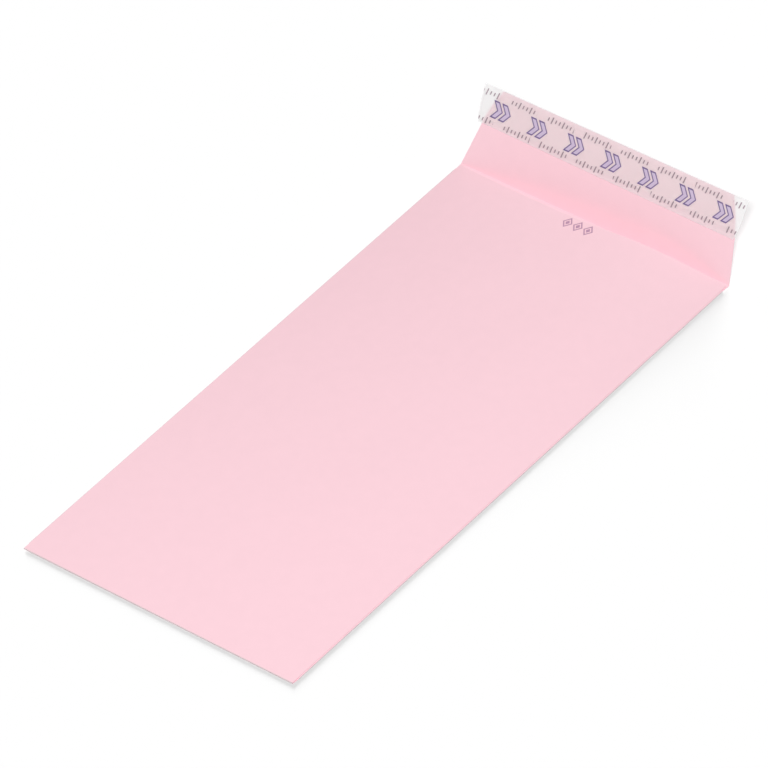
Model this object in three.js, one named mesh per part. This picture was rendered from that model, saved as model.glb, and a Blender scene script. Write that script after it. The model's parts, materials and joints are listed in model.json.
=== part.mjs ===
// A peel and seal envelope for a sheet of paper folded in three: a long pocket of pink paper with its
// opening at a short end, a seal flap that stands half raised at its crease, and a self-adhesive band
// on the flap under a release liner. Sizes are in millimetres.
//
// The envelope lies with its plain front panel down. +X runs across it, +Y from the bottom fold to
// the flap crease, and +Z up. The origin is on the underside, at the middle of the front panel.

import * as THREE from 'three';

// The envelope and its paper
const envelopeWidth = 110;
const envelopeLength = 220;
const paperThickness = 0.15;
const sideFoldInnerRadius = 0.025;

// The seam flaps, which are folded in under the back panel and gummed to it
const seamFlapWidth = 15;
const seamFlapEndTrim = 3;
const seamFlapEndSlant = 7;
const gumThickness = 0.05;
const gumWidth = 8;
const gumEdgeInset = 2;
const gumEndInset = 12;

// The back panel, whose upper edge is the throat of the pocket and stands a little open
const backEdgeInset = 0.4;
const throatDepth = 5.5;
const shoulderWidth = 8;
const shoulderSetback = 0.5;
const mouthBow = 6;
const freeEdgeMargin = 0.2;

// The seal flap, with sides that taper and corners that round towards its free edge
const flapHeight = 27.9;
const flapRestAngle = 56;
const flapTaper = 0.21;
const flapCornerDepth = 12.4;
const flapCornerRounding = 2;
const creaseGap = 0.03;

// The adhesive band on the flap's inner face, set back from the flap's free edge
const stripThickness = 0.08;
const stripTopInset = 1.4;
const stripWidth = 9.6;
const stripSideInset = 1;

// The release liner, which covers the band and sticks out past the flap's tapered sides. It is slit
// a little wider at its right end, and both ends are cut at a slant.
const linerThickness = 0.06;
const linerTopInset = 0.2;
const linerLeftWidth = 12.4;
const linerRightWidth = 13.4;
const linerLeftInset = 0.4;
const linerRightInset = 2.1;
const linerEndSlant = 1.45;
const layerGap = 0.03;
const closedClearance = 0.1;

// How finely the curved outlines and the bowed panel are divided
const foldSteps = 6;
const cornerSteps = 8;
const panelColumns = 24;
const panelRows = 18;

// Heights of the layers, which follow from the sheets between them
const halfWidth = envelopeWidth / 2;
const halfLength = envelopeLength / 2;
const seamFlapBase = paperThickness + 2 * sideFoldInnerRadius;
const seamFlapTop = seamFlapBase + paperThickness;
const sideFoldRadius = seamFlapTop / 2;
const backBase = seamFlapTop + gumThickness;
const stackTop = backBase + paperThickness;
const bottomFoldRadius = stackTop / 2;

// Height of the crease's axis: turned right over, the flap, its band and liner clear the stack
const coveredFlap = paperThickness + stripThickness + linerThickness + 2 * layerGap;
const hingeHeight = (stackTop + closedClearance + coveredFlap) / 2;

// Where the back panel is free of the gum and can bow
const freeHalfWidth = halfWidth - gumEdgeInset - gumWidth - freeEdgeMargin;
const backStartY = -halfLength + bottomFoldRadius;

const colours = {
  paper: '#fad3dd',
  paperInside: '#facad6',
  gum: '#f2e9d8',
  adhesive: '#f1ece2',
  liner: '#ece4e6',
};

function material(colour, roughness) {
  return new THREE.MeshStandardMaterial({ color: colour, roughness, metalness: 0 });
}

function namedMesh(name, geometry, meshMaterial) {
  const mesh = new THREE.Mesh(geometry, meshMaterial);
  mesh.name = name;
  return mesh;
}

// A flat sheet with the given outline, lying between two heights
function sheet(outline, base, thickness) {
  const geometry = new THREE.ExtrudeGeometry(outline, { depth: thickness, bevelEnabled: false });
  geometry.translate(0, 0, base);
  return geometry;
}

function outlineOf(points) {
  return new THREE.Shape(points.map(([x, y]) => new THREE.Vector2(x, y)));
}

function rectangle(x0, x1, y0, y1) {
  return outlineOf([[x0, y0], [x1, y0], [x1, y1], [x0, y1]]);
}

// A curved strip of paper in section: part of a ring between two angles, in degrees
function bendSection(outerRadius, startAngle, endAngle) {
  const start = THREE.MathUtils.degToRad(startAngle);
  const end = THREE.MathUtils.degToRad(endAngle);
  const section = new THREE.Shape();
  section.absarc(0, 0, outerRadius, start, end, false);
  section.absarc(0, 0, outerRadius - paperThickness, end, start, true);
  return section;
}

// Carries a section drawn in Y and Z along X, centred
function alongX(section, length) {
  const geometry = new THREE.ExtrudeGeometry(section, {
    depth: length,
    bevelEnabled: false,
    curveSegments: foldSteps,
  });
  const turn = new THREE.Matrix4().makeBasis(
    new THREE.Vector3(0, 1, 0),
    new THREE.Vector3(0, 0, 1),
    new THREE.Vector3(1, 0, 0),
  );
  geometry.applyMatrix4(turn);
  geometry.translate(-length / 2, 0, 0);
  return geometry;
}

// Carries a section drawn in X and Z along Y, between two places
function alongY(section, y0, y1) {
  const geometry = new THREE.ExtrudeGeometry(section, {
    depth: y1 - y0,
    bevelEnabled: false,
    curveSegments: foldSteps,
  });
  geometry.rotateX(Math.PI / 2);
  geometry.translate(0, y1, 0);
  return geometry;
}

// The panel that the envelope lies on, between its side folds
function frontPanel() {
  const side = halfWidth - sideFoldRadius;
  return sheet(rectangle(-side, side, backStartY, halfLength), 0, paperThickness);
}

// Half a turn of paper at a side, from the front panel up to the seam flap
function sideFold(side) {
  const section = side > 0 ? bendSection(sideFoldRadius, -90, 90) : bendSection(sideFoldRadius, 90, 270);
  const [y0, y1] = seamFlapSpan();
  const geometry = alongY(section, y0, y1);
  geometry.translate(side * (halfWidth - sideFoldRadius), 0, sideFoldRadius);
  return geometry;
}

// The first and last place of a seam flap along its fold
function seamFlapSpan() {
  return [-halfLength + seamFlapEndTrim, halfLength - seamFlapEndTrim];
}

// A seam flap, lying on the front panel, with both ends cut at a slant
function seamFlap(side) {
  const [y0, y1] = seamFlapSpan();
  const outer = side * (halfWidth - sideFoldRadius);
  const inner = side * (halfWidth - seamFlapWidth);
  const points = [
    [outer, y0],
    [outer, y1],
    [inner, y1 - seamFlapEndSlant],
    [inner, y0 + seamFlapEndSlant],
  ];
  return sheet(outlineOf(points), seamFlapBase, paperThickness);
}

// The dry line of gum between a seam flap and the back panel
function seamGum(side) {
  const outer = side * (halfWidth - gumEdgeInset);
  const inner = outer - side * gumWidth;
  const end = halfLength - gumEndInset;
  const outline = rectangle(Math.min(outer, inner), Math.max(outer, inner), -end, end);
  return sheet(outline, seamFlapTop, gumThickness);
}

// Half a turn of paper at the bottom, from the front panel up to the back panel
function bottomFold() {
  const geometry = alongX(bendSection(bottomFoldRadius, 90, 270), 2 * (halfWidth - backEdgeInset));
  geometry.translate(0, backStartY, bottomFoldRadius);
  return geometry;
}

// A smooth hump across the envelope: 1 at the middle, 0 at and past the given half width
function hump(x, half) {
  const share = Math.min(Math.abs(x) / half, 1);
  return (1 - share ** 3) ** 2;
}

// The throat is cut lowest at the middle and runs up to a shoulder at each side
function throatY(x) {
  return halfLength - shoulderSetback - throatDepth * hump(x, halfWidth - shoulderWidth);
}

// The underside of the back panel: flat where it is gummed, and bowed more and more towards the mouth
function backHeight(x, share) {
  return backBase + mouthBow * hump(x, freeHalfWidth) * share;
}

function backColumns() {
  const outer = halfWidth - backEdgeInset;
  const middle = Array.from({ length: panelColumns + 1 }, (_, i) => {
    return freeHalfWidth * (2 * i / panelColumns - 1);
  });
  return [-outer, -(outer + freeHalfWidth) / 2, ...middle, (outer + freeHalfWidth) / 2, outer];
}

// The back panel as one closed sheet: a grid of points below, the same grid a paper's thickness above
function backPanel() {
  const columns = backColumns();
  const positions = [];
  for (const lift of [0, paperThickness]) {
    for (let row = 0; row <= panelRows; row += 1) {
      const share = row / panelRows;
      for (const x of columns) {
        const y = backStartY + (throatY(x) - backStartY) * share;
        positions.push(x, y, backHeight(x, share) + lift);
      }
    }
  }
  return closedSheet(positions, columns.length, panelRows + 1);
}

// Joins two stacked grids, the lower one first, into one closed body that faces out
function closedSheet(positions, across, along) {
  const upper = across * along;
  const at = (row, column) => row * across + column;
  const faces = [];
  const quad = (a, b, c, d) => faces.push(a, b, c, a, c, d);
  for (let row = 0; row < along - 1; row += 1) {
    for (let column = 0; column < across - 1; column += 1) {
      const corners = [at(row, column), at(row, column + 1), at(row + 1, column + 1), at(row + 1, column)];
      quad(...corners.map((corner) => corner + upper));
      quad(...corners.reverse());
    }
  }
  const wall = (a, b) => quad(a, b, b + upper, a + upper);
  for (let column = 0; column < across - 1; column += 1) {
    wall(at(0, column), at(0, column + 1));
    wall(at(along - 1, column + 1), at(along - 1, column));
  }
  for (let row = 0; row < along - 1; row += 1) {
    wall(at(row + 1, 0), at(row, 0));
    wall(at(row, across - 1), at(row + 1, across - 1));
  }
  const geometry = new THREE.BufferGeometry();
  geometry.setAttribute('position', new THREE.Float32BufferAttribute(positions, 3));
  geometry.setIndex(faces);
  geometry.computeVertexNormals();
  return geometry;
}

// Half the flap's width at a distance from the crease: a straight taper, then the rounded corner
function flapHalfWidth(distance) {
  const corner = Math.max(0, (distance - (flapHeight - flapCornerDepth)) / flapCornerDepth);
  return halfWidth - flapTaper * distance - flapCornerRounding * corner ** 2;
}

// An outline that follows the flap's sides between two distances from the crease
function flapOutline(start, end, inset) {
  const bend = Math.min(Math.max(flapHeight - flapCornerDepth, start), end);
  const distances = [start];
  for (let step = 0; step <= cornerSteps; step += 1) {
    const distance = bend + (end - bend) * step / cornerSteps;
    if (distance > start) distances.push(distance);
  }
  const right = distances.map((distance) => [flapHalfWidth(distance) - inset, distance]);
  const left = right.map(([x, y]) => [-x, y]).reverse();
  return outlineOf([...right, ...left]);
}

// The adhesive band's outline, which keeps a margin to the flap's sides
function stripOutline() {
  const end = flapHeight - stripTopInset;
  return flapOutline(end - stripWidth, end, stripSideInset);
}

// The release liner's outline: its upper edge lies along the flap's free edge
function linerOutline() {
  const top = flapHeight - linerTopInset;
  const left = -halfWidth + linerLeftInset;
  const right = halfWidth - linerRightInset;
  return outlineOf([
    [left + linerEndSlant, top - linerLeftWidth],
    [right - linerEndSlant, top - linerRightWidth],
    [right, top],
    [left, top],
  ]);
}

// The pieces that turn together about the crease, drawn with the flap lying open and flat
function flapGroup() {
  const stripBase = -hingeHeight + paperThickness + layerGap;
  const linerBase = stripBase + stripThickness + layerGap;
  const flap = sheet(flapOutline(creaseGap, flapHeight, 0), -hingeHeight, paperThickness);
  const strip = sheet(stripOutline(), stripBase, stripThickness);
  const liner = sheet(linerOutline(), linerBase, linerThickness);

  const group = new THREE.Group();
  group.add(
    namedMesh('seal_flap', flap, material(colours.paperInside, 0.85)),
    namedMesh('adhesive_strip', strip, material(colours.adhesive, 0.35)),
    namedMesh('release_liner', liner, material(colours.liner, 0.45)),
  );
  group.position.set(0, halfLength, hingeHeight);
  group.rotation.x = THREE.MathUtils.degToRad(flapRestAngle);
  return group;
}

// The bend between the front panel and the flap, for the flap at its resting angle
function flapCrease() {
  const geometry = alongX(bendSection(hingeHeight, -90, flapRestAngle - 90), envelopeWidth);
  geometry.translate(0, halfLength, hingeHeight);
  return geometry;
}

const envelope = new THREE.Group();
const paper = () => material(colours.paper, 0.85);
const gum = () => material(colours.gum, 0.6);

envelope.add(
  namedMesh('front_panel', frontPanel(), paper()),
  namedMesh('back_panel', backPanel(), paper()),
  namedMesh('bottom_fold', bottomFold(), paper()),
  namedMesh('flap_crease', flapCrease(), paper()),
);
for (const [name, side] of [['left', -1], ['right', 1]]) {
  envelope.add(
    namedMesh(`${name}_side_fold`, sideFold(side), paper()),
    namedMesh(`${name}_seam_flap`, seamFlap(side), paper()),
    namedMesh(`${name}_seam_gum`, seamGum(side), gum()),
  );
}
envelope.add(flapGroup());

export default envelope;
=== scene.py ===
"""The looks of a peel and seal envelope: pink paper, its adhesive band and a printed release liner."""
import json
import math

import bpy
import numpy as np
from mathutils import Matrix, Vector


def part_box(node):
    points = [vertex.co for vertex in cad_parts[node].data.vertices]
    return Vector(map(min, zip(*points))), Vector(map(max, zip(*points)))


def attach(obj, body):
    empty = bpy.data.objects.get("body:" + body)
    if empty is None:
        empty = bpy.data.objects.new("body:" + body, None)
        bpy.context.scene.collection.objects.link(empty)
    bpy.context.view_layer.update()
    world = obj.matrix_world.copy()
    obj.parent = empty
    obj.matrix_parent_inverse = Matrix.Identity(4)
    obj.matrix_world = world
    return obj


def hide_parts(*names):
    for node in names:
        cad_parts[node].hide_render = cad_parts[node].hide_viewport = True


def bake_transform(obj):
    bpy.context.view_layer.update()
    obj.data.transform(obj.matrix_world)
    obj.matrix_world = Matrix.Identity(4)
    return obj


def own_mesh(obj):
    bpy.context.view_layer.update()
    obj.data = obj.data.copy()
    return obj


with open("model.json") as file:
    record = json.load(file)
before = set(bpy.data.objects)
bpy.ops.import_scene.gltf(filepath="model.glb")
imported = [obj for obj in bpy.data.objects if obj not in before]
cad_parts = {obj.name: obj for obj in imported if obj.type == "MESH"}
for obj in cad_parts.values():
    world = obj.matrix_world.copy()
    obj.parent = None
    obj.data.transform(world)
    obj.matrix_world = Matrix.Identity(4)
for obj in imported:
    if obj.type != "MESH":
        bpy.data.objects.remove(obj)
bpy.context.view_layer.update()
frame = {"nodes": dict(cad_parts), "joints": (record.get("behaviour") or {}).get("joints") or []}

MM = 0.001

# Sizes of the paper and of the bowed back panel, which the construction gives too
PAPER = 0.15 * MM
FLAP_REST = math.radians(56)
THROAT_DEPTH = 5.5 * MM
SEAM_END_SLANT = 7 * MM

# The open mouth stands this high, and highest this far right of the middle
BOW_RISE = 6.6 * MM
BOW_PEAK = 18 * MM

# Paper never lies quite flat. These say how high its long waves stand, how long they are and how many
# there are, and the seeds place them
BACK_WAVE = 0.25 * MM
BACK_SEED = 5
FLAP_WAVE = 0.05 * MM
FLAP_SEED = 11
SHORTEST_WAVE = 35 * MM
LONGEST_WAVE = 90 * MM
WAVE_COUNT = 6

# The flap's waves reach their full height this far from the crease
WAVE_START = 6 * MM

# The liner comes down to the flap within this distance from the adhesive band
LINER_DROP = 1.1 * MM

# The liner reaches this far past the flap's free edge
LINER_OVERHANG = 0.12 * MM

# The liner's end cuts bulge by this much, most a third of the way up, and only near the ends
END_BULGE = 0.5 * MM
END_BULGE_SKEW = 0.63
END_BULGE_POWER = 5

# How many grid points a sheet has round a fold, along a long edge, across (from left to right) and
# along (away from the bottom fold, or from the crease)
FOLD_STEPS = 13
LONG_STEPS = 60
FRONT_ACROSS = 61
FRONT_ALONG = 82
FLAP_ALONG = 42
BACK_ACROSS = 121
BACK_ALONG = 141
SEAM_ACROSS = 16
GUM_ACROSS = 9
BAND_ACROSS = 81
BAND_ALONG = 13
LINER_ACROSS = 181
LINER_ALONG = 25

# Faces that meet at more than this angle, in degrees, keep a sharp edge
SHARP_ANGLE = 50

# A distance in millimetres that no mark reaches
FAR = 99.0

# The camera, solved from the photo's perspective for a body of 220 by 110 mm
VIEW_AZIMUTH = math.radians(43.57)
VIEW_ELEVATION = math.radians(41.66)
VIEW_ROLL = math.radians(-6.84)
VIEW_DISTANCE = 2.808
VIEW_TARGET = (-8.5 * MM, 12.7 * MM, 0.0)
FOCAL_PIXELS = 8844
PHOTO_PIXELS = 768
SENSOR_WIDTH = 36.0

# Light on a piece that lies flat: the shares of the sky and of the two soft boxes add up to 1, where a
# colour renders as written. The second soft box shines through the thin back panel into the mouth.
SKY_SHARE = 0.30
KEY_SHARE = 0.25
THROUGH_SHARE = 0.45
KEY_AZIMUTH = -57
KEY_ELEVATION = 71
KEY_DISTANCE = 1.4
KEY_SIZE = 0.7

# The floor's own light: with the sky it adds up to 1 / FLOOR_WHITE, where the floor renders white.
# The envelope's edges shade the low share, and the raised flap shades the front share.
FLOOR_WHITE = 0.5
FLOOR_REACH = 6.0
LOW_SHARE = 0.55
FRONT_SHARE = 0.4
EVEN_SHARE = 1 / FLOOR_WHITE - SKY_SHARE - LOW_SHARE - FRONT_SHARE

# All the sizes of the printed marks, from here on, are in millimetres. Ink has an edge this soft
INK_EDGE = 0.1

# The liner's double arrowheads, along its middle: their spacing and distance from the crease, how far each
# half of a pair lies from the pair's middle, its half breadth, half height and slope, and its outline
PRINT_PITCH = 15.2
PRINT_MIDDLE = 21.2
ARROW_OFFSET = 1.65
ARROW_BREADTH = 1.15
ARROW_HEIGHT = 2.9
ARROW_SLOPE = 0.75
ARROW_TIP = 1.0
ARROW_LINE = 0.4

# The rows of ticks above and below the arrowheads: every third tick is tall
ROW_OFFSET = 4.5
ROW_HALF_LENGTH = 5.6
TICK_PITCH = 1.5
TICK_BREADTH = 0.2
TICK_LEAN = -0.2
SHORT_TICK = 0.6
TALL_TICK = 1.1
TALL_EVERY = 3

# The mark of three lozenges near the throat
MARK_X = 1.5
MARK_BELOW_CREASE = 9.2
LOZENGE_PITCH = 4.2
LOZENGE_SIZE = 1.6
LOZENGE_SLOPE = 0.75
LOZENGE_LINE = 0.28
LOZENGE_DOT = 0.8
MARK_HALF_LENGTH = 6.2
MARK_STRENGTH = 0.8

# Painted shade darkens the paper fully up to here from the middle of a fold, and less up to there
FOLD_SHADE_FULL = 0.25
FOLD_SHADE_END = 0.6

# A painted highlight along the throat's cut edge is this wide, and as strong as this
CUT_FULL = 0.1
CUT_END = 0.5
CUT_STRENGTH = 0.1

# The share of light that each face of the liner lets through, where it is bare and where it is printed
BARE_THROUGH = 0.74
INKED_THROUGH = 0.4

# Sizes of the paper's fibres and clouds, of the gum's patches and of the adhesive's swell
FIBRE_SIZE = 0.5 * MM
CLOUD_SIZE = 4 * MM
PATCH_SIZE = 2 * MM
SWELL_SIZE = 3 * MM


def linear(code, alpha=1.0):
    """Turns an sRGB hex colour into the linear values that a shader takes."""
    values = [int(code[i:i + 2], 16) / 255 for i in (1, 3, 5)]
    return [v / 12.92 if v <= 0.04045 else ((v + 0.055) / 1.055) ** 2.4 for v in values] + [alpha]


def box_of(name):
    """Lowest and highest corner of a construction piece, as arrays in metres."""
    low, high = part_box(name)
    return np.array(low), np.array(high)


front_low, front_high = box_of("front_panel")
back_low, back_high = box_of("back_panel")
side_low, side_high = box_of("right_side_fold")
seam_low = box_of("right_seam_flap")[0]
HALF_WIDTH = side_high[0]
HALF_LENGTH = front_high[1]
SIDE_RADIUS = side_high[2] / 2
STACK_TOP = box_of("bottom_fold")[1][2]
BOTTOM_RADIUS = STACK_TOP / 2
BACK_START = front_low[1]
BACK_BASE = back_low[2]
BACK_HALF = back_high[0]
SIDES = {-1: "left", 1: "right"}
hinge = next(j for j in frame["joints"] if j["name"] == "flap_fold")
HINGE_HEIGHT = hinge["pos_m"][2]


def laid_flat(name):
    """A flap piece's points with the flap opened flat: how far across, how far from the crease, and how
    high over the axis."""
    points = np.array([v.co for v in frame["nodes"][name].data.vertices])
    y = points[:, 1] - HALF_LENGTH
    z = points[:, 2] - HINGE_HEIGHT
    along = y * math.cos(FLAP_REST) + z * math.sin(FLAP_REST)
    height = z * math.cos(FLAP_REST) - y * math.sin(FLAP_REST)
    return np.stack([points[:, 0], along, height], axis=1)


def raised(across, along, height):
    """Turns points of the flat flap up about the crease to the resting angle."""
    y = HALF_LENGTH + along * math.cos(FLAP_REST) - height * math.sin(FLAP_REST)
    z = HINGE_HEIGHT + along * math.sin(FLAP_REST) + height * math.cos(FLAP_REST)
    return np.stack(np.broadcast_arrays(across, y, z), axis=-1)


def half_width_at(outline, along):
    """Half the width of a symmetric flap piece at a distance from the crease, from its outline's points."""
    side = outline[outline[:, 0] > 0]
    order = np.argsort(side[:, 1])
    return np.interp(along, side[order, 1], side[order, 0])


def waves(u, v, seed):
    """A sum of long plane waves with seeded directions and phases, from about -1 to 1."""
    rng = np.random.default_rng(seed)
    total = np.zeros(np.broadcast(u, v).shape)
    for _ in range(WAVE_COUNT):
        angle, phase = rng.uniform(0, 2 * math.pi, 2)
        length = rng.uniform(SHORTEST_WAVE, LONGEST_WAVE)
        total += np.sin(2 * math.pi * (u * math.cos(angle) + v * math.sin(angle)) / length + phase)
    return total * 2 / WAVE_COUNT


def normals_of(points):
    """Unit normals of a grid of points: the cross product of its steps across and along."""
    across = np.gradient(points, axis=1)
    along = np.gradient(points, axis=0)
    normal = np.cross(across, along)
    return normal / np.linalg.norm(normal, axis=2, keepdims=True)


def sheet_piece(name, middle, flat, thickness, material, normal=None, edge=FAR):
    """A closed sheet: a grid of middle points moved half the thickness both ways along its normals, with
    walls round the rim. flat is each point's place on the flat sheet and edge its distance from the fold
    or cut along which shade or highlight is painted, both in millimetres."""
    rows, columns = middle.shape[:2]
    normal = normals_of(middle) if normal is None else normal
    upper = (middle + normal * thickness / 2).reshape(-1, 3)
    lower = (middle - normal * thickness / 2).reshape(-1, 3)
    count = rows * columns
    index = np.arange(count).reshape(rows, columns)
    a, b = index[:-1, :-1].ravel(), index[:-1, 1:].ravel()
    c, d = index[1:, 1:].ravel(), index[1:, :-1].ravel()
    rim = np.concatenate([index[0, :-1], index[:-1, -1], index[-1, :0:-1], index[:0:-1, 0]])
    after = np.roll(rim, -1)
    quads = np.concatenate([
        np.stack([a, b, c, d], axis=1),
        np.stack([d, c, b, a], axis=1) + count,
        np.stack([rim + count, after + count, after, rim], axis=1),
    ])
    mesh = bpy.data.meshes.new(name)
    mesh.from_pydata(np.concatenate([upper, lower]).tolist(), [], quads.tolist())
    edge = np.broadcast_to(edge, (rows, columns)).reshape(-1, 1)
    place = np.concatenate([np.concatenate([flat.reshape(-1, 2), edge], axis=1)] * 2)
    mesh.attributes.new("flat_mm", "FLOAT_VECTOR", "POINT").data.foreach_set("vector", place.ravel())
    mesh.polygons.foreach_set("use_smooth", np.ones(len(quads), dtype=bool))
    mesh.set_sharp_from_angle(angle=math.radians(SHARP_ANGLE))
    mesh.materials.append(material)
    piece = bpy.data.objects.new(name, mesh)
    bpy.context.scene.collection.objects.link(piece)
    return piece


def arc(centre_y, centre_z, radius, start, end, steps):
    """Points and normals in Y and Z along an arc; the angles are in degrees, counted from +Y towards +Z."""
    angle = np.radians(np.linspace(start, end, steps))
    direction = np.stack([np.cos(angle), np.sin(angle)], axis=1)
    return np.array([centre_y, centre_z]) + radius * direction, -direction


def front_sheet(material):
    """One sheet from the bottom fold, along the underside and up round the crease to the flap's free edge.
    Its line in Y and Z is half a turn, a straight run, an arc about the crease's axis and a straight
    run."""
    outline = laid_flat("seal_flap")
    flap_height = outline[:, 1].max()
    bend_radius = HINGE_HEIGHT - PAPER / 2
    fold, fold_normal = arc(BACK_START, BOTTOM_RADIUS, BOTTOM_RADIUS - PAPER / 2, 90, 270, FOLD_STEPS)
    crease, crease_normal = arc(
        HALF_LENGTH, HINGE_HEIGHT, bend_radius, -90, math.degrees(FLAP_REST) - 90, FOLD_STEPS)
    run = np.linspace(BACK_START, HALF_LENGTH, FRONT_ALONG)[1:-1]
    bottom = np.stack([run, np.full_like(run, PAPER / 2)], axis=1)
    along = np.linspace(0, flap_height, FLAP_ALONG)[1:]
    flap = raised(np.zeros_like(along), along, np.full_like(along, -bend_radius))[:, 1:]
    up = np.array([-math.sin(FLAP_REST), math.cos(FLAP_REST)])
    line = np.concatenate([fold, bottom, crease, flap])
    normal = np.concatenate([
        fold_normal,
        np.tile([0.0, 1.0], (len(bottom), 1)),
        crease_normal,
        np.tile(up, (len(flap), 1)),
    ])
    half = np.concatenate([
        np.full(len(fold), back_high[0]),
        np.full(len(bottom), front_high[0]),
        np.full(len(crease), HALF_WIDTH),
        half_width_at(outline, along),
    ])
    travelled = np.concatenate([[0], np.cumsum(np.linalg.norm(np.diff(line, axis=0), axis=1))])
    share = np.linspace(-1, 1, FRONT_ACROSS)
    x = half[:, None] * share
    on_flap = np.concatenate([np.zeros(len(line) - len(along)), along])[:, None]
    lift = flap_wave(x, on_flap) * np.minimum(on_flap / WAVE_START, 1)
    middle = np.zeros(x.shape + (3,))
    middle[..., 0] = x
    middle[..., 1] = line[:, :1] + lift * normal[:, :1]
    middle[..., 2] = line[:, 1:] + lift * normal[:, 1:]
    normals = np.zeros_like(middle)
    normals[..., 1] = normal[:, :1]
    normals[..., 2] = normal[:, 1:]
    flat = np.stack([x, np.broadcast_to(travelled[:, None], x.shape)], axis=-1) / MM
    from_fold = np.abs(travelled - travelled[len(fold) // 2])[:, None] / MM
    return sheet_piece("folded_front_and_flap", middle, flat, PAPER, material, normals, from_fold)


def flap_wave(x, along):
    """How far the flap stands off its plane."""
    return FLAP_WAVE * waves(x, along, FLAP_SEED)


def throat_y(x):
    """The throat's edge: one arc from corner to corner, lowest at the middle."""
    return back_high[1] - THROAT_DEPTH * (1 - (x / BACK_HALF) ** 2)


def bow(x, y):
    """How far the back panel stands up at a place, with the seam flaps that are glued under it. Across it
    is two half parabolas that meet at the peak and end at the side folds, which hold it like hinges. It
    grows in step with the distance from the bottom fold, as paper bends in a cone."""
    reach = np.where(x < BOW_PEAK, BACK_HALF + BOW_PEAK, BACK_HALF - BOW_PEAK)
    across = np.maximum(1 - ((x - BOW_PEAK) / reach) ** 2, 0)
    share = (y - BACK_START) / (throat_y(x) - BACK_START)
    return across * share * (BOW_RISE + BACK_WAVE * waves(x, y, BACK_SEED))


def back_sheet(material):
    """The back panel, from the bottom fold to the throat's arc."""
    x = np.linspace(-1, 1, BACK_ACROSS) * BACK_HALF
    share = np.linspace(0, 1, BACK_ALONG)[:, None]
    edge = throat_y(x)
    y = BACK_START + (edge - BACK_START) * share
    middle = np.stack(np.broadcast_arrays(x, y, BACK_BASE + PAPER / 2 + bow(x, y)), axis=-1)
    up = np.zeros_like(middle)
    up[..., 2] = 1
    flat = np.stack(np.broadcast_arrays(x, y - HALF_LENGTH), axis=-1) / MM
    return sheet_piece("bowed_back_panel", middle, flat, PAPER, material, up, (edge - y) / MM)


def side_fold(side, material):
    """A side fold: half a turn from the front panel's edge up to the seam flap."""
    turn = np.radians(np.linspace(-90, 90, FOLD_STEPS))
    radius = SIDE_RADIUS - PAPER / 2
    x = side * (HALF_WIDTH - SIDE_RADIUS + radius * np.cos(turn))
    y = np.linspace(side_low[1], side_high[1], LONG_STEPS)[:, None]
    middle = np.stack(np.broadcast_arrays(x, y, SIDE_RADIUS + radius * np.sin(turn)), axis=-1)
    normals = np.stack(np.broadcast_arrays(side * np.cos(turn), np.zeros_like(y), np.sin(turn)), axis=-1)
    flat = np.stack(np.broadcast_arrays(radius * turn, y), axis=-1) / MM
    from_fold = np.abs(radius * turn) / MM
    if side > 0:
        middle, normals, flat = middle[:, ::-1], normals[:, ::-1], flat[:, ::-1]
    return sheet_piece(SIDES[side] + "_turned_edge", middle, flat, PAPER, material, normals, from_fold)


def seam_flap(side, material):
    """A seam flap, glued under the back panel and bowed with it. Its ends slant, so it shortens with the
    distance from its fold."""
    outer, inner = HALF_WIDTH - SIDE_RADIUS, seam_low[0]
    inward = np.linspace(0, 1, SEAM_ACROSS)
    x = side * (outer + (inner - outer) * inward)
    length = side_high[1] - side_low[1] - 2 * SEAM_END_SLANT * inward
    y = (side_low[1] + side_high[1]) / 2 + length * np.linspace(-0.5, 0.5, LONG_STEPS)[:, None]
    middle = np.stack(np.broadcast_arrays(x, y, side_high[2] - PAPER / 2 + bow(x, y)), axis=-1)
    flat = np.stack(np.broadcast_arrays(x, y), axis=-1) / MM
    if side > 0:
        middle, flat = middle[:, ::-1], flat[:, ::-1]
    return sheet_piece(SIDES[side] + "_glued_seam_flap", middle, flat, PAPER, material)


def gum_line(side, material):
    """The skin of gum between a seam flap and the back panel, bowed with them."""
    low, high = box_of(SIDES[side] + "_seam_gum")
    x = np.linspace(low[0], high[0], GUM_ACROSS)
    y = np.linspace(low[1], high[1], LONG_STEPS)[:, None]
    middle = np.stack(np.broadcast_arrays(x, y, (low[2] + high[2]) / 2 + bow(x, y)), axis=-1)
    flat = np.stack(np.broadcast_arrays(x, y), axis=-1) / MM
    return sheet_piece(SIDES[side] + "_gum_skin", middle, flat, high[2] - low[2], material)


def strip_sheet(material):
    """The adhesive band: a flat film that follows the flap's sides and its long waves."""
    outline = laid_flat("adhesive_strip")
    low, high = outline[:, 1].min(), outline[:, 1].max()
    base, top = outline[:, 2].min(), outline[:, 2].max()
    along = np.linspace(low, high, BAND_ALONG)[:, None]
    x = half_width_at(outline, along) * np.linspace(-1, 1, BAND_ACROSS)
    height = (base + top) / 2 + flap_wave(x, along)
    middle = raised(x, along, height)
    flat = np.stack(np.broadcast_arrays(x, along), axis=-1) / MM
    return sheet_piece("adhesive_band", middle, flat, top - base, material)


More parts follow.
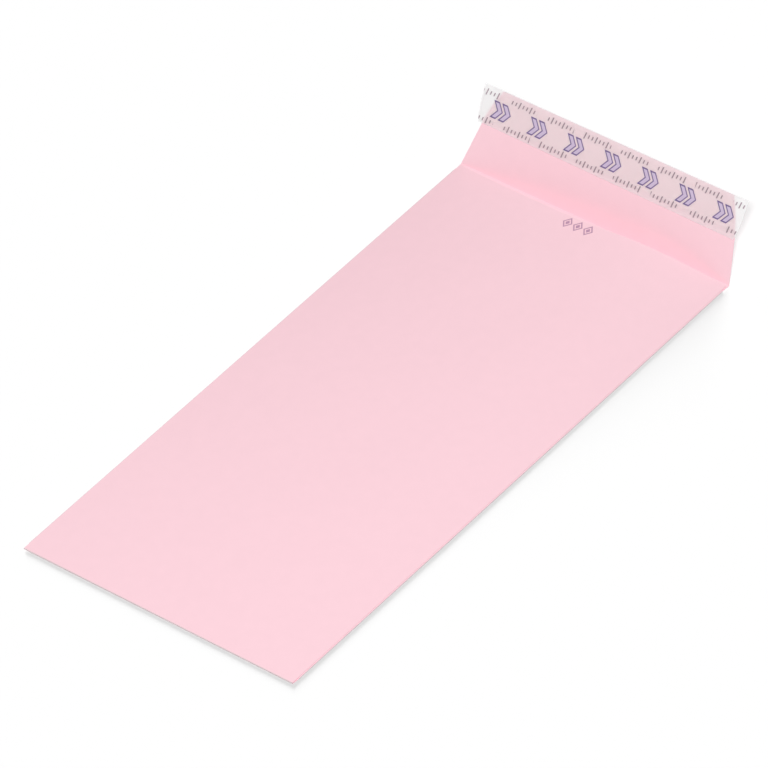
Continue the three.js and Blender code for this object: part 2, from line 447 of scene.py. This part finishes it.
def liner_sheet(material):
    """The release liner: the surface between its four corners, with end cuts that bulge, made a little
    higher so that it covers the flap's free edge. It follows the flap's long waves, and above and below
    the adhesive band it comes down to the flap."""
    outline = laid_flat("release_liner")
    base, top = outline[:, 2].min(), outline[:, 2].max()
    order = np.argsort(outline[:, 1])
    lower, upper = outline[order[:len(order) // 2]], outline[order[len(order) // 2:]]
    lower_left, lower_right = lower[lower[:, 0].argmin()], lower[lower[:, 0].argmax()]
    upper_left, upper_right = upper[upper[:, 0].argmin()], upper[upper[:, 0].argmax()]
    s = np.linspace(0, 1, LINER_ACROSS)
    t = np.linspace(0, 1, LINER_ALONG)[:, None]
    bottom = lower_left * (1 - s)[:, None] + lower_right * s[:, None]
    top_x = upper_left[0] * (1 - s) + upper_right[0] * s
    top_along = laid_flat("seal_flap")[:, 1].max() + LINER_OVERHANG
    x = bottom[:, 0] * (1 - t) + top_x * t
    along = bottom[:, 1] * (1 - t) + top_along * t
    x = x + END_BULGE * np.sin(math.pi * t ** END_BULGE_SKEW) * (2 * s - 1) ** END_BULGE_POWER
    band = laid_flat("adhesive_strip")
    beside = np.maximum(band[:, 1].min() - along, along - band[:, 1].max())
    down = np.clip(beside / LINER_DROP, 0, 1)
    drop = (base - band[:, 2].min()) * down ** 2 * (3 - 2 * down)
    height = (base + top) / 2 + flap_wave(x, along) - drop
    flat = np.stack([x, along], axis=-1) / MM
    middle = raised(x, along, height)
    return sheet_piece("printed_release_liner", middle, flat, top - base, material)


def node(tree, kind, inputs, output=0, **settings):
    """Adds a shader node, sets its properties, sets or links its inputs, and gives one of its outputs."""
    made = tree.nodes.new("ShaderNode" + kind)
    for key, value in settings.items():
        setattr(made, key, value)
    for key, value in inputs.items():
        if isinstance(value, bpy.types.NodeSocket):
            tree.links.new(value, made.inputs[key])
        else:
            made.inputs[key].default_value = value
    return made.outputs[output] if made.outputs else None


def new_material(name):
    """An empty node material with its tree to add nodes to."""
    material = bpy.data.materials.new(name)
    material.use_nodes = True
    material.node_tree.nodes.clear()
    return material, material.node_tree


def within(tree, value, half, soft=INK_EDGE):
    """1 where a value lies within half of zero, with an edge as soft as ink on paper, in millimetres."""
    away = node(tree, "Math", {0: value}, operation="ABSOLUTE")
    return node(tree, "MapRange", {
        "Value": away, "From Min": half - soft, "From Max": half + soft, "To Min": 1.0, "To Max": 0.0})


def repeated(tree, value, pitch, shift=0.0):
    """Distance from the nearest of a row of middles, which stand a pitch apart."""
    moved = node(tree, "Math", {0: value, 1: shift}, operation="SUBTRACT")
    return node(tree, "Math", {0: moved, 1: pitch / 2, 2: -pitch / 2}, operation="WRAP")


def flat_place(tree):
    """A point's place on its flat sheet, in millimetres, and its distance from the edge that matters."""
    place = node(tree, "Attribute", {}, "Vector", attribute_name="flat_mm")
    return node(tree, "SeparateXYZ", {0: place}).node.outputs


def fibre_tint(tree, colour):
    """A paper colour with faint clouds of fibre and finer fleck, and the height of the paper's tooth."""
    place = node(tree, "TexCoord", {}, "Object")
    clouds = node(tree, "TexNoise", {"Vector": place, "Scale": 1 / CLOUD_SIZE, "Detail": 4.0}, "Fac")
    fibres = node(tree, "TexNoise", {"Vector": place, "Scale": 1 / FIBRE_SIZE, "Detail": 3.0}, "Fac")
    both = node(tree, "Math", {0: fibres, 1: 0.5, 2: clouds}, operation="MULTIPLY_ADD")
    tint = node(tree, "MapRange", {
        "Value": both, "From Min": 0.5, "From Max": 1.0, "To Min": 0.99, "To Max": 1.008})
    shade = node(tree, "VectorMath", {0: linear(colour)[:3], "Scale": tint}, operation="SCALE")
    return shade, fibres


def paper_finish(material, tree, colour, fibres):
    """The matt, toothed surface that all the pink paper has."""
    tooth = node(tree, "Bump", {"Height": fibres, "Strength": 0.2, "Distance": 0.015 * MM})
    shader = node(tree, "BsdfPrincipled", {
        "Base Color": colour, "Roughness": 0.88, "IOR": 1.5, "Normal": tooth})
    node(tree, "OutputMaterial", {"Surface": shader})
    return material


def tinted_paper(name, colour, painted_fold_shade):
    """Uncoated pink paper of 100 g/m2, dyed in the pulp: an even, matt, faintly fibrous surface, with a
    darker line of painted shade along the middle of each fold."""
    material, tree = new_material(name)
    shade, fibres = fibre_tint(tree, colour)
    from_fold = flat_place(tree)[2]
    # Painted shade: near a fold's middle the colour is mixed towards the darker fold colour
    unshaded_share = node(tree, "MapRange", {"Value": from_fold, "From Min": FOLD_SHADE_FULL, "From Max": FOLD_SHADE_END})
    fold_shaded = node(tree, "Mix", {0: unshaded_share, 6: linear(painted_fold_shade), 7: shade}, 2, data_type="RGBA")
    return paper_finish(material, tree, fold_shaded, fibres)


def lozenge_mark(tree, x, y):
    """1 on the mark's ink: three lozenge outlines in a row, each with a dot. A lozenge's edge is where the
    distance across and the scaled distance up add up to its size."""
    across = node(tree, "Math", {0: x, 1: MARK_X}, operation="SUBTRACT")
    up = node(tree, "Math", {0: y, 1: MARK_BELOW_CREASE}, operation="ADD")
    step = node(tree, "Math", {0: repeated(tree, across, LOZENGE_PITCH)}, operation="ABSOLUTE")
    rise = node(tree, "Math", {0: up}, operation="ABSOLUTE")
    reach = node(tree, "Math", {0: rise, 1: LOZENGE_SLOPE, 2: step}, operation="MULTIPLY_ADD")
    from_edge = node(tree, "Math", {0: reach, 1: LOZENGE_SIZE}, operation="SUBTRACT")
    rim = within(tree, from_edge, LOZENGE_LINE)
    drawn = node(tree, "Math", {0: rim, 1: within(tree, reach, LOZENGE_DOT)}, operation="MAXIMUM")
    return node(tree, "Math", {0: drawn, 1: within(tree, across, MARK_HALF_LENGTH)}, operation="MULTIPLY")


def marked_paper(name, colour, ink, cut):
    """The same paper with a mark of three lozenges in mauve ink and a lighter line of painted highlight
    along the throat's cut edge.
    """
    material, tree = new_material(name)
    shade, fibres = fibre_tint(tree, colour)
    x, y, edge = flat_place(tree)
    mark = node(tree, "Math", {0: lozenge_mark(tree, x, y), 1: MARK_STRENGTH}, operation="MULTIPLY")
    inked = node(tree, "Mix", {0: mark, 6: shade, 7: linear(ink)}, 2, data_type="RGBA")
    # Painted highlight: the colour is lighter close to the throat's cut edge
    painted_highlight_share = node(tree, "MapRange", {
        "Value": edge, "From Min": CUT_FULL, "From Max": CUT_END, "To Min": CUT_STRENGTH, "To Max": 0.0})
    lit = node(tree, "Mix", {0: painted_highlight_share, 6: inked, 7: linear(cut)}, 2, data_type="RGBA")
    return paper_finish(material, tree, lit, fibres)


def arrow_masks(tree, x, off):
    """1 on the double arrowheads, and 1 on their outline alone. Both halves of a pair are bands that lean
    back on each side of the liner's middle."""
    back = node(tree, "Math", {0: off}, operation="ABSOLUTE")
    lean = node(tree, "Math", {0: back, 1: ARROW_SLOPE, 2: -ARROW_TIP}, operation="MULTIPLY_ADD")
    arrow = node(tree, "Math", {0: repeated(tree, x, PRINT_PITCH), 1: lean}, operation="ADD")
    away = node(tree, "Math", {0: arrow}, operation="ABSOLUTE")
    half = node(tree, "Math", {0: away, 1: ARROW_OFFSET}, operation="SUBTRACT")
    whole, core = [
        node(tree, "Math", {
            0: within(tree, half, ARROW_BREADTH - inset),
            1: within(tree, off, ARROW_HEIGHT - inset)}, operation="MULTIPLY")
        for inset in (0, ARROW_LINE)]
    return whole, node(tree, "Math", {0: whole, 1: core}, operation="SUBTRACT")


def tick_mask(tree, x, off):
    """1 on the rows of leaning ticks, which stand above and below the gaps between the arrowheads."""
    lean = node(tree, "Math", {0: off, 1: TICK_LEAN, 2: x}, operation="MULTIPLY_ADD")
    away = node(tree, "Math", {0: off}, operation="ABSOLUTE")
    row = node(tree, "Math", {0: away, 1: ROW_OFFSET}, operation="SUBTRACT")
    short, tall = [
        node(tree, "Math", {
            0: within(tree, repeated(tree, lean, pitch), TICK_BREADTH),
            1: within(tree, row, height)}, operation="MULTIPLY")
        for pitch, height in ((TICK_PITCH, SHORT_TICK), (TICK_PITCH * TALL_EVERY, TALL_TICK))]
    ticks = node(tree, "Math", {0: short, 1: tall}, operation="MAXIMUM")
    beside = within(tree, repeated(tree, x, PRINT_PITCH, PRINT_PITCH / 2), ROW_HALF_LENGTH)
    return node(tree, "Math", {0: ticks, 1: beside}, operation="MULTIPLY")


def printed_glassine(name, colour, fill, line, tick):
    """Silicone-coated glassine of 50 g/m2: a thin, smooth white sheet. Each face sends back a quarter of
    the light and lets the rest through, scattered, so the flap's pink shows softly under the liner, and the
    ink holds back more. Violet double arrowheads run along its middle, with rows of grey-mauve ticks."""
    material, tree = new_material(name)
    x, along, _ = flat_place(tree)
    off = node(tree, "Math", {0: along, 1: PRINT_MIDDLE}, operation="SUBTRACT")
    arrows, outlines = arrow_masks(tree, x, off)
    ticks = tick_mask(tree, x, off)
    base = linear(colour)
    for mask, ink in ((ticks, tick), (arrows, fill), (outlines, line)):
        base = node(tree, "Mix", {0: mask, 6: base, 7: linear(ink)}, 2, data_type="RGBA")
    printed = node(tree, "Math", {0: arrows, 1: ticks}, operation="MAXIMUM")
    through = node(tree, "MapRange", {"Value": printed, "To Min": BARE_THROUGH, "To Max": INKED_THROUGH})
    surface = node(tree, "BsdfPrincipled", {"Base Color": base, "Roughness": 0.42, "IOR": 1.45})
    scattered = node(tree, "BsdfTranslucent", {"Color": base})
    both = node(tree, "MixShader", {0: through, 1: surface, 2: scattered})
    node(tree, "OutputMaterial", {"Surface": both})
    return material


def tacky_film(name, colour, thick):
    """Hot-melt adhesive on a thin film: clear enough to take the paper's pink, wet-looking, a little uneven
    and paler where it is thick."""
    material, tree = new_material(name)
    place = node(tree, "TexCoord", {}, "Object")
    swell = node(tree, "TexNoise", {"Vector": place, "Scale": 1 / SWELL_SIZE, "Detail": 3.0}, "Fac")
    uneven = node(tree, "Bump", {"Height": swell, "Strength": 0.3, "Distance": 0.05 * MM})
    share = node(tree, "MapRange", {"Value": swell, "From Min": 0.3, "From Max": 0.7, "To Max": 0.25})
    shade = node(tree, "Mix", {0: share, 6: linear(colour), 7: linear(thick)}, 2, data_type="RGBA")
    shader = node(tree, "BsdfPrincipled", {
        "Base Color": shade, "Roughness": 0.16, "IOR": 1.49, "Normal": uneven})
    node(tree, "OutputMaterial", {"Surface": shader})
    return material


def dried_gum(name, colour, soaked):
    """Dried seam gum: a thin cream skin with a dull sheen, patchy where it soaked into the paper."""
    material, tree = new_material(name)
    place = node(tree, "TexCoord", {}, "Object")
    patches = node(tree, "TexNoise", {"Vector": place, "Scale": 1 / PATCH_SIZE, "Detail": 3.0}, "Fac")
    share = node(tree, "MapRange", {"Value": patches, "From Min": 0.35, "From Max": 0.65})
    shade = node(tree, "Mix", {0: share, 6: linear(colour), 7: linear(soaked)}, 2, data_type="RGBA")
    dullness = node(tree, "MapRange", {
        "Value": patches, "From Min": 0.3, "From Max": 0.7, "To Min": 0.42, "To Max": 0.6})
    shader = node(tree, "BsdfPrincipled", {"Base Color": shade, "Roughness": dullness, "IOR": 1.5})
    node(tree, "OutputMaterial", {"Surface": shader})
    return material


def white_floor():
    """A white studio sweep that lights evenly."""
    mesh = bpy.data.meshes.new("studio_floor")
    corners = [(x * FLOOR_REACH, y * FLOOR_REACH, 0) for x, y in ((-1, -1), (1, -1), (1, 1), (-1, 1))]
    mesh.from_pydata(corners, [], [(0, 1, 2, 3)])
    material, tree = new_material("white_sweep")
    shader = node(tree, "BsdfDiffuse", {"Color": [FLOOR_WHITE] * 3 + [1.0]})
    node(tree, "OutputMaterial", {"Surface": shader})
    mesh.materials.append(material)
    floor = bpy.data.objects.new("studio_floor", mesh)
    bpy.context.scene.collection.objects.link(floor)
    return floor


def direction_to(azimuth, elevation):
    """The unit vector towards a light: azimuth in degrees from +X towards +Y, elevation above the floor."""
    a, e = math.radians(azimuth), math.radians(elevation)
    return np.array([math.cos(a) * math.cos(e), math.sin(a) * math.cos(e), math.sin(e)])


def sun(name, azimuth, elevation, share, softness):
    """A distant lamp that gives a flat white surface the stated share of full white."""
    data = bpy.data.lights.new(name, "SUN")
    data.energy = share * math.pi / math.sin(math.radians(elevation))
    data.angle = math.radians(softness)
    lamp = bpy.data.objects.new(name, data)
    lamp.rotation_euler = Vector(direction_to(azimuth, elevation)).to_track_quat("Z", "Y").to_euler()
    bpy.context.scene.collection.objects.link(lamp)
    return lamp


def soft_box(name, azimuth, elevation, share):
    """A round soft box aimed at the middle. It gives a flat white surface there the stated share of full
    white, and a little more or less where it is nearer or farther."""
    data = bpy.data.lights.new(name, "AREA")
    data.shape = "DISK"
    data.size = KEY_SIZE
    reach = KEY_DISTANCE ** 2 + (KEY_SIZE / 2) ** 2
    data.energy = share * math.pi ** 2 * reach / math.sin(math.radians(elevation))
    lamp = bpy.data.objects.new(name, data)
    towards = direction_to(azimuth, elevation)
    lamp.location = towards * KEY_DISTANCE
    lamp.rotation_euler = Vector(towards).to_track_quat("Z", "Y").to_euler()
    lamp.visible_camera = False
    bpy.context.scene.collection.objects.link(lamp)
    return lamp


def set_world():
    """An even surround. The camera, glossy surfaces and clear views see it pure white, and as light it has
    the sky's share. Light scattered through the liner is a transmission ray and a diffuse ray at once, so
    the diffuse part is taken off, and such a ray meets the plain sky."""
    world = bpy.data.worlds.new("white_surround")
    bpy.context.scene.world = world
    world.use_nodes = True
    tree = world.node_tree
    tree.nodes.clear()
    ray = node(tree, "LightPath", {}).node.outputs
    clear = node(tree, "Math", {
        0: ray["Is Transmission Ray"], 1: ray["Is Diffuse Ray"]}, operation="SUBTRACT")
    mirrored = node(tree, "Math", {0: ray["Is Glossy Ray"], 1: clear}, operation="MAXIMUM")
    seen = node(tree, "Math", {0: ray["Is Camera Ray"], 1: mirrored}, operation="MAXIMUM")
    white = (1.0, 1.0, 1.0, 1.0)
    lit = node(tree, "Background", {"Color": white, "Strength": SKY_SHARE})
    shown = node(tree, "Background", {"Color": white, "Strength": 1.0})
    surround = node(tree, "MixShader", {0: seen, 1: lit, 2: shown})
    node(tree, "OutputWorld", {"Surface": surround})


def set_camera():
    """The photo's camera: far away, with a long lens, rolled a little."""
    a, e, roll = VIEW_AZIMUTH, VIEW_ELEVATION, VIEW_ROLL
    back = Vector((math.sin(a) * math.cos(e), -math.cos(a) * math.cos(e), math.sin(e)))
    level = Vector((math.cos(a), math.sin(a), 0))
    upright = back.cross(level)
    right = level * math.cos(roll) + upright * math.sin(roll)
    up = upright * math.cos(roll) - level * math.sin(roll)
    data = bpy.data.cameras.new("photo_camera")
    data.sensor_width = SENSOR_WIDTH
    data.lens = FOCAL_PIXELS * SENSOR_WIDTH / PHOTO_PIXELS
    data.clip_end = 20
    camera = bpy.data.objects.new("photo_camera", data)
    bpy.context.scene.collection.objects.link(camera)
    camera.matrix_world = Matrix.Translation(Vector(VIEW_TARGET) + back * VIEW_DISTANCE) @ Matrix(
        (right, up, back)).transposed().to_4x4()
    bpy.context.scene.camera = camera


def collection_of(name, *objects):
    """A collection that names which pieces a lamp reaches or is blocked by."""
    made = bpy.data.collections.new(name)
    for item in objects:
        made.objects.link(item)
    return made


set_camera()
set_world()
floor = white_floor()
# The third colour is the painted shade along the folds
paper = tinted_paper("pink_envelope_paper", "#f8d0d9", "#dcc6ca")
# The fourth colour is the painted highlight along the throat's cut edge
marked = marked_paper("pink_envelope_paper_with_mark", "#f8d0d9", "#a6779a", "#fde6ea")

front = front_sheet(paper)
back = back_sheet(marked)
folds = [side_fold(side, paper) for side in SIDES]
seams = [seam_flap(side, paper) for side in SIDES]
strip = strip_sheet(tacky_film("hot_melt_adhesive", "#f5ccd4", "#f6e3e2"))
liner = liner_sheet(printed_glassine(
    "printed_glassine", colour="#ffffff", fill="#ece0f5", line="#806ba6", tick="#b29fa9"))
gum_finish = dried_gum("dried_seam_gum", "#ead6c4", "#f2dccb")
gums = [gum_line(side, gum_finish) for side in SIDES]

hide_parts("front_panel", "bottom_fold", "flap_crease", "seal_flap")
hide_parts("back_panel")
for name, fold, seam, gum in zip(SIDES.values(), folds, seams, gums):
    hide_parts(name + "_side_fold")
    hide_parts(name + "_seam_flap")
    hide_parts(name + "_seam_gum")
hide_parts("adhesive_strip")
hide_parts("release_liner")

crease_end = raised(np.array(0.0), np.array(0.0), np.array(PAPER / 2 - HINGE_HEIGHT))
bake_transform(front)
for piece in folds:
    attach(piece, "envelope")
closing = [(back, BACK_BASE)]
closing += [(seam, side_high[2] - PAPER / 2) for seam in seams]
closing += [(gum, side_high[2]) for gum in gums]
for piece, base in closing:
    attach(piece, "envelope")
    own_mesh(piece)
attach(strip, "flap")
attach(liner, "liner")

pieces = [front, back, *folds, *seams, *gums, strip, liner]
key = soft_box("front_light", KEY_AZIMUTH, KEY_ELEVATION, KEY_SHARE)
key.light_linking.receiver_collection = collection_of("envelope_only", *pieces)
through = soft_box("light_through_thin_paper", KEY_AZIMUTH, KEY_ELEVATION, THROUGH_SHARE)
through.light_linking.receiver_collection = collection_of("envelope_again", *pieces)
through.light_linking.blocker_collection = collection_of("all_but_back", front, *folds, strip, liner)
low = sun("low_floor_light", azimuth=138, elevation=11, share=LOW_SHARE, softness=13)
low.light_linking.receiver_collection = collection_of("floor_only", floor)
low.light_linking.blocker_collection = collection_of("body_shadow", back, *folds)
ahead = sun("front_floor_light", azimuth=-53, elevation=43, share=FRONT_SHARE, softness=5)
ahead.light_linking.receiver_collection = collection_of("floor_once_more", floor)
ahead.light_linking.blocker_collection = collection_of("flap_shadow", front, strip, liner)
even = sun("even_floor_light", azimuth=0, elevation=90, share=EVEN_SHARE, softness=20)
even.light_linking.receiver_collection = collection_of("floor_again", floor)
even.light_linking.blocker_collection = collection_of("no_shadow", floor)
bpy.context.scene.view_settings.view_transform = "Standard"
